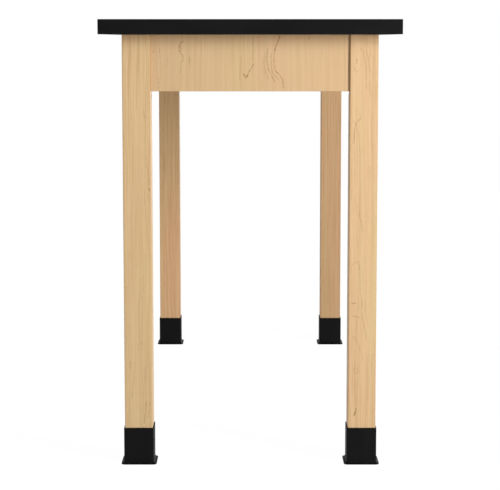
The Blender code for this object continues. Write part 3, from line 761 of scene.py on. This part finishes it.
# %% A turned shape
def turned(outline, steps=40):
    """A solid turned about +Z from (radius, height) points that start and end on the axis."""
    work = bmesh.new()
    points = [work.verts.new((radius, 0.0, height)) for radius, height in outline]
    lines = [work.edges.new(pair) for pair in zip(points, points[1:])]
    bmesh.ops.spin(work, geom=points + lines, axis=(0.0, 0.0, 1.0), angle=math.tau, steps=steps,
                   use_merge=True)
    bmesh.ops.remove_doubles(work, verts=work.verts, dist=1e-7)
    bmesh.ops.recalc_face_normals(work, faces=work.faces)
    return work


print("outlines can be turned")

# %% A thread
CREST = (0.42, 0.58)     # where the flat top of a thread's tooth lies, in shares of the pitch


def threaded(radius, depth, pitch, bottom, top, point=0.0, steps=20):
    """A thread about +Z between two heights. Point is the length over which its top end tapers."""
    work = bmesh.new()
    root = radius - depth
    tooth = [(root, 0.0), (radius, CREST[0] * pitch), (radius, CREST[1] * pitch), (root, pitch)]
    points = [work.verts.new((out, 0.0, bottom - 1.5 * pitch + up)) for out, up in tooth]
    lines = [work.edges.new(pair) for pair in zip(points, points[1:])]
    turns = math.ceil((top - bottom) / pitch) + 3
    bmesh.ops.spin(work, geom=points + lines, axis=(0.0, 0.0, 1.0), angle=math.tau * turns,
                   steps=steps * turns, dvec=(0.0, 0.0, pitch / steps))
    bmesh.ops.remove_doubles(work, verts=work.verts, dist=1e-6)
    for height, outward in ((bottom, -1.0), (top, 1.0)):
        everything = work.verts[:] + work.edges[:] + work.faces[:]
        cut = bmesh.ops.bisect_plane(work, geom=everything, plane_co=(0.0, 0.0, height),
                                     plane_no=(0.0, 0.0, outward), clear_outer=True)["geom_cut"]
        bmesh.ops.edgeloop_fill(work, edges=edges_in(cut))
    for vert in work.verts if point else ():
        widest = radius - (vert.co.z - (top - point)) * depth / point
        out = vert.co.xy.length
        if out > widest:
            vert.co.xy *= widest / out
    bmesh.ops.recalc_face_normals(work, faces=work.faces)
    return work


sample = threaded(0.004, 0.0008, 0.0014, 0.0, 0.010)
open_edges = sum(edge.is_boundary for edge in sample.edges)
print("a thread of 10 mm has", len(sample.faces), "faces; open edges:", open_edges)
sample.free()

# %% [markdown]
# ## Shapes put together
# A thread round a core may simply share its mesh, because nothing sees where they overlap. A nut's
# bore or a screw's recess has to be cut, and the Boolean modifier does that well on closed shapes.
# What is made once, such as a bolt, is kept as a mesh, and every piece starts as a copy of it.

# %% Shapes merged, carved and copied
def merged(*works):
    """Several shapes as one, with the first as the base."""
    base = works[0]
    for other in works[1:]:
        mesh = as_mesh(other, "merged")
        base.from_mesh(mesh)
        bpy.data.meshes.remove(mesh)
    return base


def carved(first, second, operation):
    """Two closed shapes joined, crossed or cut by Blender's Boolean."""
    blocks = [into_scene("block", as_mesh(work, "block")) for work in (first, second)]
    modifier = blocks[0].modifiers.new("carve", "BOOLEAN")
    modifier.object = blocks[1]
    modifier.operation = operation
    modifier.solver = "EXACT"
    result = bmesh.new()
    result.from_object(blocks[0], bpy.context.evaluated_depsgraph_get())
    for block in blocks:
        mesh = block.data
        bpy.data.objects.remove(block)
        bpy.data.meshes.remove(mesh)
    return result


def steel_piece(pattern, name, body, place):
    """A piece of plated steel. Its pattern is a mesh that many pieces start from."""
    work = bmesh.new()
    work.from_mesh(pattern)
    return to_piece(work, name, ZINC, body, place)


print("shapes can be merged, carved and copied")

# %% [markdown]
# ## Hanger bolts
# Each leg is held by two hanger bolts: the coarse wood thread is screwed into the leg's chamfered
# inner corner, and the machine thread passes through the pressed bracket. A plain rod would do,
# since they hide behind the apron, but a part that is taken to bits shows them. So the shank is
# turned, and two threads are rolled on it.

# %% Directions and stations of a corner joint
low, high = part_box("corner_bracket_near_left")
APRON_MIDDLE = (low.z + high.z) / 2
BOLT_RISE = 0.022            # of each bolt from the apron's middle
BOLT_IN_WOOD = -0.009589     # where a bolt starts and ends, out from the leg's axis
BOLT_END = 0.049311
NUT_SEAT = 0.036211


def inner_side(corner):
    """1 or -1 along x and along y, from a leg towards the middle of the table."""
    axis = LEG_AXIS[corner]
    return Vector((-math.copysign(1, axis.x), -math.copysign(1, axis.y), 0.0))


def facing(place, direction):
    """A matrix that takes a shape on +Z to a place and a direction."""
    turn = Vector((0.0, 0.0, 1.0)).rotation_difference(Vector(direction)).to_matrix().to_4x4()
    return Matrix.Translation(place) @ turn


print("apron middle", round(APRON_MIDDLE, 5), "m above the floor")

# %% The hanger bolt
BOLT_LENGTH = BOLT_END - BOLT_IN_WOOD
BOLT_RADIUS = 0.0039            # of the shank and of both threads' crests
WOOD_CORE, WOOD_DEPTH, WOOD_PITCH = 0.0028, 0.0012, 0.0032
MACHINE_CORE, MACHINE_DEPTH, MACHINE_PITCH = 0.0032, 0.0008, 0.00141
WOOD_THREAD_END = 0.0300        # heights above the bolt's point
MACHINE_THREAD_START = 0.0365
bolt_core = turned([
    (0.0, 0.0), (0.0012, 0.0), (WOOD_CORE, 0.0050), (WOOD_CORE, WOOD_THREAD_END),
    (BOLT_RADIUS, WOOD_THREAD_END + 0.0008), (BOLT_RADIUS, MACHINE_THREAD_START),
    (MACHINE_CORE, MACHINE_THREAD_START + 0.0006), (MACHINE_CORE, BOLT_LENGTH - 0.0004),
    (0.0, BOLT_LENGTH - 0.0002)])
wood_thread = threaded(BOLT_RADIUS, WOOD_DEPTH, WOOD_PITCH, 0.0030, WOOD_THREAD_END + 0.0004)
machine_thread = threaded(BOLT_RADIUS, MACHINE_DEPTH, MACHINE_PITCH, MACHINE_THREAD_START - 0.0002,
                          BOLT_LENGTH, point=0.0012, steps=24)
BOLT = as_mesh(merged(bolt_core, wood_thread, machine_thread), "pattern")
print("a bolt", round(BOLT_LENGTH * 1000, 1), "mm long has", len(BOLT.polygons), "faces")

# %% [markdown]
# ## Flange nuts
# A flange nut on each bolt draws the leg into the corner of the aprons. A bevel along a hexagon
# would flatten its corners, where a real nut's are turned off round. So the hexagon is crossed
# with a turned cone, joined to the washer-like flange, and bored.

# %% The flange nut
NUT_FLATS = 0.0130
NUT_FLANGE = 0.0179
NUT_TOP = 0.0081
NUT_BORE, NUT_MOUTH = 0.00425, 0.00475    # radii of the bore and of its countersunk mouth


def hexagon(flats, bottom, top):
    """A six-sided prism, from the distance across its flats and its two heights."""
    work = bmesh.new()
    radius = flats / math.sqrt(3)
    bmesh.ops.create_cone(work, cap_ends=True, segments=6, radius1=radius, radius2=radius,
                          depth=top - bottom)
    bmesh.ops.translate(work, verts=work.verts, vec=(0.0, 0.0, (top + bottom) / 2))
    return work


corner_radius = NUT_FLATS / math.sqrt(3)
crown = turned([(0.0, 0.0), (corner_radius * 1.01, 0.0), (corner_radius * 1.01, NUT_TOP - 0.0008),
                (NUT_FLATS * 0.475, NUT_TOP), (0.0, NUT_TOP)], 60)
rim = NUT_FLANGE / 2
flange = turned([(0.0, 0.0), (rim - 0.0003, 0.0), (rim, 0.0003), (rim, 0.0007), (rim - 0.0002, 0.0009),
                 (corner_radius + 0.0002, 0.0016), (0.0, 0.0018)], 60)
bore = turned([(0.0, -0.001), (NUT_BORE, -0.001), (NUT_BORE, NUT_TOP - 0.0005),
               (NUT_MOUTH, NUT_TOP + 0.0001), (NUT_MOUTH, NUT_TOP + 0.001), (0.0, NUT_TOP + 0.001)], 40)
body = carved(hexagon(NUT_FLATS, 0.0005, NUT_TOP), crown, "INTERSECT")
NUT = as_mesh(carved(carved(body, flange, "UNION"), bore, "DIFFERENCE"), "pattern")
print("a nut has", len(NUT.polygons), "faces")

# %% Two bolts and two nuts in each corner
LEVELS = {"lower": -1, "upper": 1}
for corner in CORNERS:
    inward = inner_side(corner).normalized()
    for level, side in LEVELS.items():
        height = Vector((0.0, 0.0, APRON_MIDDLE + BOLT_RISE * side))
        in_wood = facing(LEG_AXIS[corner] + inward * BOLT_IN_WOOD + height, inward)
        on_bracket = facing(LEG_AXIS[corner] + inward * NUT_SEAT + height, inward)
        bolt = steel_piece(BOLT, "threaded_bolt_%s_%s" % (level, corner), "frame", in_wood)
        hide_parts("hanger_bolt_%s_%s" % (level, corner))
        nut = steel_piece(NUT, "crowned_nut_%s_%s" % (level, corner), "frame", on_bracket)
        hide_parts("flange_nut_%s_%s" % (level, corner))
print("bolts and nuts:", len(CORNERS) * len(LEVELS), "of each")

# %% [markdown]
# ## Levelling glides
# A glide is a nylon pad on the floor, and a threaded stem with a hexagon collar that screws up
# into the insert in the leg's end. Its thread has sixteen turns to the inch, the same pitch by
# which the CAD model's joints couple its turning to its travel. So when a pose screws a glide
# out, the thread follows the insert like a real one.

# %% Threaded stems
STEM_PITCH = 0.0254 / 16
low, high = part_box("glide_stem_near_left")
PIVOT_BOTTOM, STEM_TOP = low.z, high.z
COLLAR_BOTTOM, COLLAR_TOP = 0.0083, 0.0133
COLLAR_FLATS = 0.0160
PIVOT_RADIUS, STEM_CORE = 0.0035, 0.0039
STEM_RADIUS, STEM_DEPTH = 0.0047, 0.00085    # of the thread's crest, and its depth
collar_corner = COLLAR_FLATS / math.sqrt(3)
rounding = turned([
    (0.0, COLLAR_BOTTOM), (COLLAR_FLATS * 0.48, COLLAR_BOTTOM),
    (collar_corner * 1.01, COLLAR_BOTTOM + 0.0009), (collar_corner * 1.01, COLLAR_TOP - 0.0009),
    (COLLAR_FLATS * 0.48, COLLAR_TOP), (0.0, COLLAR_TOP)], 60)
collar = carved(hexagon(COLLAR_FLATS, COLLAR_BOTTOM, COLLAR_TOP), rounding, "INTERSECT")
stem_core = turned([
    (0.0, PIVOT_BOTTOM), (0.0032, PIVOT_BOTTOM), (PIVOT_RADIUS, PIVOT_BOTTOM + 0.0003),
    (PIVOT_RADIUS, COLLAR_BOTTOM + 0.0005), (STEM_CORE, COLLAR_BOTTOM + 0.0006),
    (STEM_CORE, STEM_TOP - 0.0006), (0.0, STEM_TOP - 0.0004)])
stem_thread = threaded(STEM_RADIUS, STEM_DEPTH, STEM_PITCH, COLLAR_TOP - 0.0004, STEM_TOP,
                       point=0.0014, steps=24)
STEM = as_mesh(merged(collar, stem_core, stem_thread), "pattern")
for corner in CORNERS:
    stem = steel_piece(STEM, "threaded_stem_" + corner, "stem_" + corner,
                       Matrix.Translation(LEG_AXIS[corner]))
    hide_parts("glide_stem_" + corner)
print("stems with", round((STEM_TOP - COLLAR_TOP) / STEM_PITCH, 1), "turns of thread")

# %% [markdown]
# ## Wood screws
# Four pan-head screws hold each bracket's wings to the aprons, and one holds each spring clip to
# the worktop. They are small, so the CAD model leaves them out. A real one is known by its domed
# head and its cross recess, so the recess is cut out of the turned head, not painted on it.

# %% The pan-head wood screw
HEAD_RADIUS = 0.0042
HEAD_HEIGHT = 0.0025
HEAD_RIM = 0.0008             # height at which the dome begins
RECESS_REACH, RECESS_WIDTH, RECESS_DEPTH = 0.0048, 0.0009, 0.0020
SCREW_LENGTH = 0.0160


def bar(size):
    """A box round the origin."""
    work = bmesh.new()
    bmesh.ops.create_cube(work, size=1.0)
    bmesh.ops.scale(work, verts=work.verts, vec=size)
    return work


dome = [(HEAD_RADIUS * math.cos(math.radians(angle)) ** 0.7,
         HEAD_RIM + (HEAD_HEIGHT - HEAD_RIM) * math.sin(math.radians(angle)))
        for angle in range(0, 90, 15)]
head = turned([(0.0, 0.0), (HEAD_RADIUS - 0.0002, 0.0)] + dome + [(0.0, HEAD_HEIGHT)], 36)
cross = carved(bar((RECESS_REACH, RECESS_WIDTH, RECESS_DEPTH)),
               bar((RECESS_WIDTH, RECESS_REACH, RECESS_DEPTH)), "UNION")
bmesh.ops.translate(cross, verts=cross.verts, vec=(0.0, 0.0, HEAD_HEIGHT))
for vert in cross.verts:
    if vert.co.z < HEAD_HEIGHT:
        vert.co.xy *= 0.6
head = carved(head, cross, "DIFFERENCE")
shank = turned([(0.0, -SCREW_LENGTH), (0.0012, -SCREW_LENGTH + 0.0030), (0.0013, -0.0050),
                (0.0018, -0.0040), (0.0018, 0.0004), (0.0, 0.0006)], 20)
screw_thread = threaded(0.0020, 0.0008, 0.0018, 0.0042, SCREW_LENGTH - 0.0015, point=0.0030, steps=16)
bmesh.ops.rotate(screw_thread, verts=screw_thread.verts, matrix=Matrix.Rotation(math.pi, 3, "X"))
SCREW = as_mesh(merged(head, shank, screw_thread), "pattern")
print("a screw has", len(SCREW.polygons), "faces")

# %% [markdown]
# ## Where the screws go
# Each bracket has four holes in its wings, and each clip has one. The holes' distances from the
# edges are the CAD model's own, so every screw lands in its hole. Screws that are driven by hand
# stop at any angle, so each cross is turned a little further than the last.

# %% Screws through the wings and clips
WING_HOLE_FROM_END = 0.0185   # from the bracket's outer end
WING_SCREW_RISE = 0.025
WING_FACE = 0.0019625         # of the wing that faces the middle, out from the leg's axis
CLIP_HOLE_FROM_LIP = 0.0108   # from the clip's edge nearer the table's middle
CLIP_SHEET = 0.0015
CROSS_TURN = 37               # degrees from one screw's cross to the next


def driven_screw(name, place, direction, turn):
    """A screw whose head seats at a place and faces a direction, with its cross turned."""
    turned_cross = Matrix.Rotation(math.radians(turn), 4, "Z")
    steel_piece(SCREW, name, "frame", facing(place, direction) @ turned_cross)


count = 0
for corner in CORNERS:
    axis = LEG_AXIS[corner]
    low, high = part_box("corner_bracket_" + corner)
    inward = inner_side(corner)
    reach = max(high.x - axis.x, axis.x - low.x) - WING_HOLE_FROM_END
    for level, side in LEVELS.items():
        height = APRON_MIDDLE + WING_SCREW_RISE * side
        beside_end = (axis.x + inward[0] * reach, axis.y - inward[1] * WING_FACE, height)
        beside_side = (axis.x - inward[0] * WING_FACE, axis.y + inward[1] * reach, height)
        for wing, place, direction in (("end", beside_end, (0.0, inward[1], 0.0)),
                                       ("side", beside_side, (inward[0], 0.0, 0.0))):
            driven_screw("wing_screw_%s_%s_%s" % (wing, level, corner), place, direction,
                         CROSS_TURN * count)
            count += 1
for node in [name for name in cad_nodes if name.startswith("top_clip")]:
    low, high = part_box(node)
    place = (low + high) / 2
    points = 1 if node.endswith("end") else 0     # the axis that the clip's lip points along
    from_low, from_high = low[points] + CLIP_HOLE_FROM_LIP, high[points] - CLIP_HOLE_FROM_LIP
    place[points] = from_high if place[points] < 0 else from_low
    place.z = high.z - CLIP_SHEET
    driven_screw(node.replace("top_clip", "clip_screw"), place, (0.0, 0.0, -1.0), CROSS_TURN * count)
    count += 1
print("wood screws:", count)

# %% [markdown]
# ## The white floor
# The photograph is a product picture on pure white, but the table still stands on something that
# shades and lights it from below. More light would wash the wood out. So the floor is mostly plain
# white for the camera and for reflections, and matt for all other light.

# %% The white floor, which keeps the table's shadow
WHITE = (1.0, 1.0, 1.0, 1.0)
FLOOR_RADIUS = 12.0
FLOOR_DROP = 0.0005     # how far it lies below the table's feet
FLOOR_GLOW = 0.90       # share of the floor's look that is plain white
GLOW_STRENGTH = 1.08    # a little over 1, to make up for the matt share


def lit_rays(recipe, output):
    """1 for one kind of ray, such as the camera's, and 0 for the others."""
    return recipe.node("ShaderNodeLightPath", output=output)


def white_floor():
    finish = Finish("white_floor", Base_Color=(0.75, 0.75, 0.75, 1.0), Roughness=0.9,
                    Specular_IOR_Level=0.0)
    glow = finish.node("ShaderNodeEmission", values={"Color": WHITE, "Strength": GLOW_STRENGTH})
    seen = lit_rays(finish, "Is Camera Ray") + lit_rays(finish, "Is Glossy Ray")
    seen = (seen + lit_rays(finish, "Is Transmission Ray")).least(1.0)
    matt = Field(finish, finish.shader.outputs[0])
    finish.pass_through(seen * FLOOR_GLOW, matt, glow, "Material Output")
    return finish.material


work = bmesh.new()
bmesh.ops.create_circle(work, cap_ends=True, segments=96, radius=FLOOR_RADIUS)
bmesh.ops.translate(work, verts=work.verts, vec=(0.0, 0.0, -FLOOR_DROP))
floor_mesh = as_mesh(work, "floor")
floor_mesh.materials.append(white_floor())
floor = into_scene("floor", floor_mesh)
print("floor of radius", FLOOR_RADIUS, "m")

# %% [markdown]
# ## The studio's light
# A tall soft panel stands at the front right: the right leg throws a thin dark line on the set-back
# apron beside it, and the worktop's overhang shades the apron softly. A dome of pale light fills
# the rest. The boots mirror what stands round the table: something bright at the rear right, and
# darkness on the left. So the dome is white behind and dim in front, and a second panel stands at
# the rear right.

# %% The dome
DOME = 0.31

world = bpy.data.worlds.new("studio")
bpy.context.scene.world = world
sky = Recipe(world)
fill = sky.node("ShaderNodeBackground", values={"Color": WHITE, "Strength": DOME})
white = sky.node("ShaderNodeBackground", values={"Color": WHITE, "Strength": 1.0})
rear = sky.parts(sky.place())[1].step(0.1, 0.7)
mirrored = lit_rays(sky, "Is Glossy Ray") + lit_rays(sky, "Is Transmission Ray")
white_seen = (lit_rays(sky, "Is Camera Ray") + mirrored * rear).least(1.0)
sky.pass_through(white_seen, fill, white, "World Output")
print("dome strength", DOME)

# %% The soft panels
KEY_WATTS = 104.0
REAR_WATTS = 24.0


def panel(name, place, aim, width, height, watts):
    light = bpy.data.lights.new(name, "AREA")
    light.shape = "RECTANGLE"
    light.size = width
    light.size_y = height
    light.energy = watts
    lamp = into_scene(name, light)
    lamp.location = place
    lamp.rotation_euler = (Vector(aim) - Vector(place)).to_track_quat("-Z", "Y").to_euler()


panel("key_panel", (2.35, -2.75, 1.62), (0.0, -0.73, 1.62), 0.45, 2.6, KEY_WATTS)
panel("rear_panel", (1.6, 5.5, 0.9), (0.0, 0.0, 0.5), 1.2, 1.4, REAR_WATTS)
print("lit by a key panel of", KEY_WATTS, "W and a rear panel of", REAR_WATTS, "W")
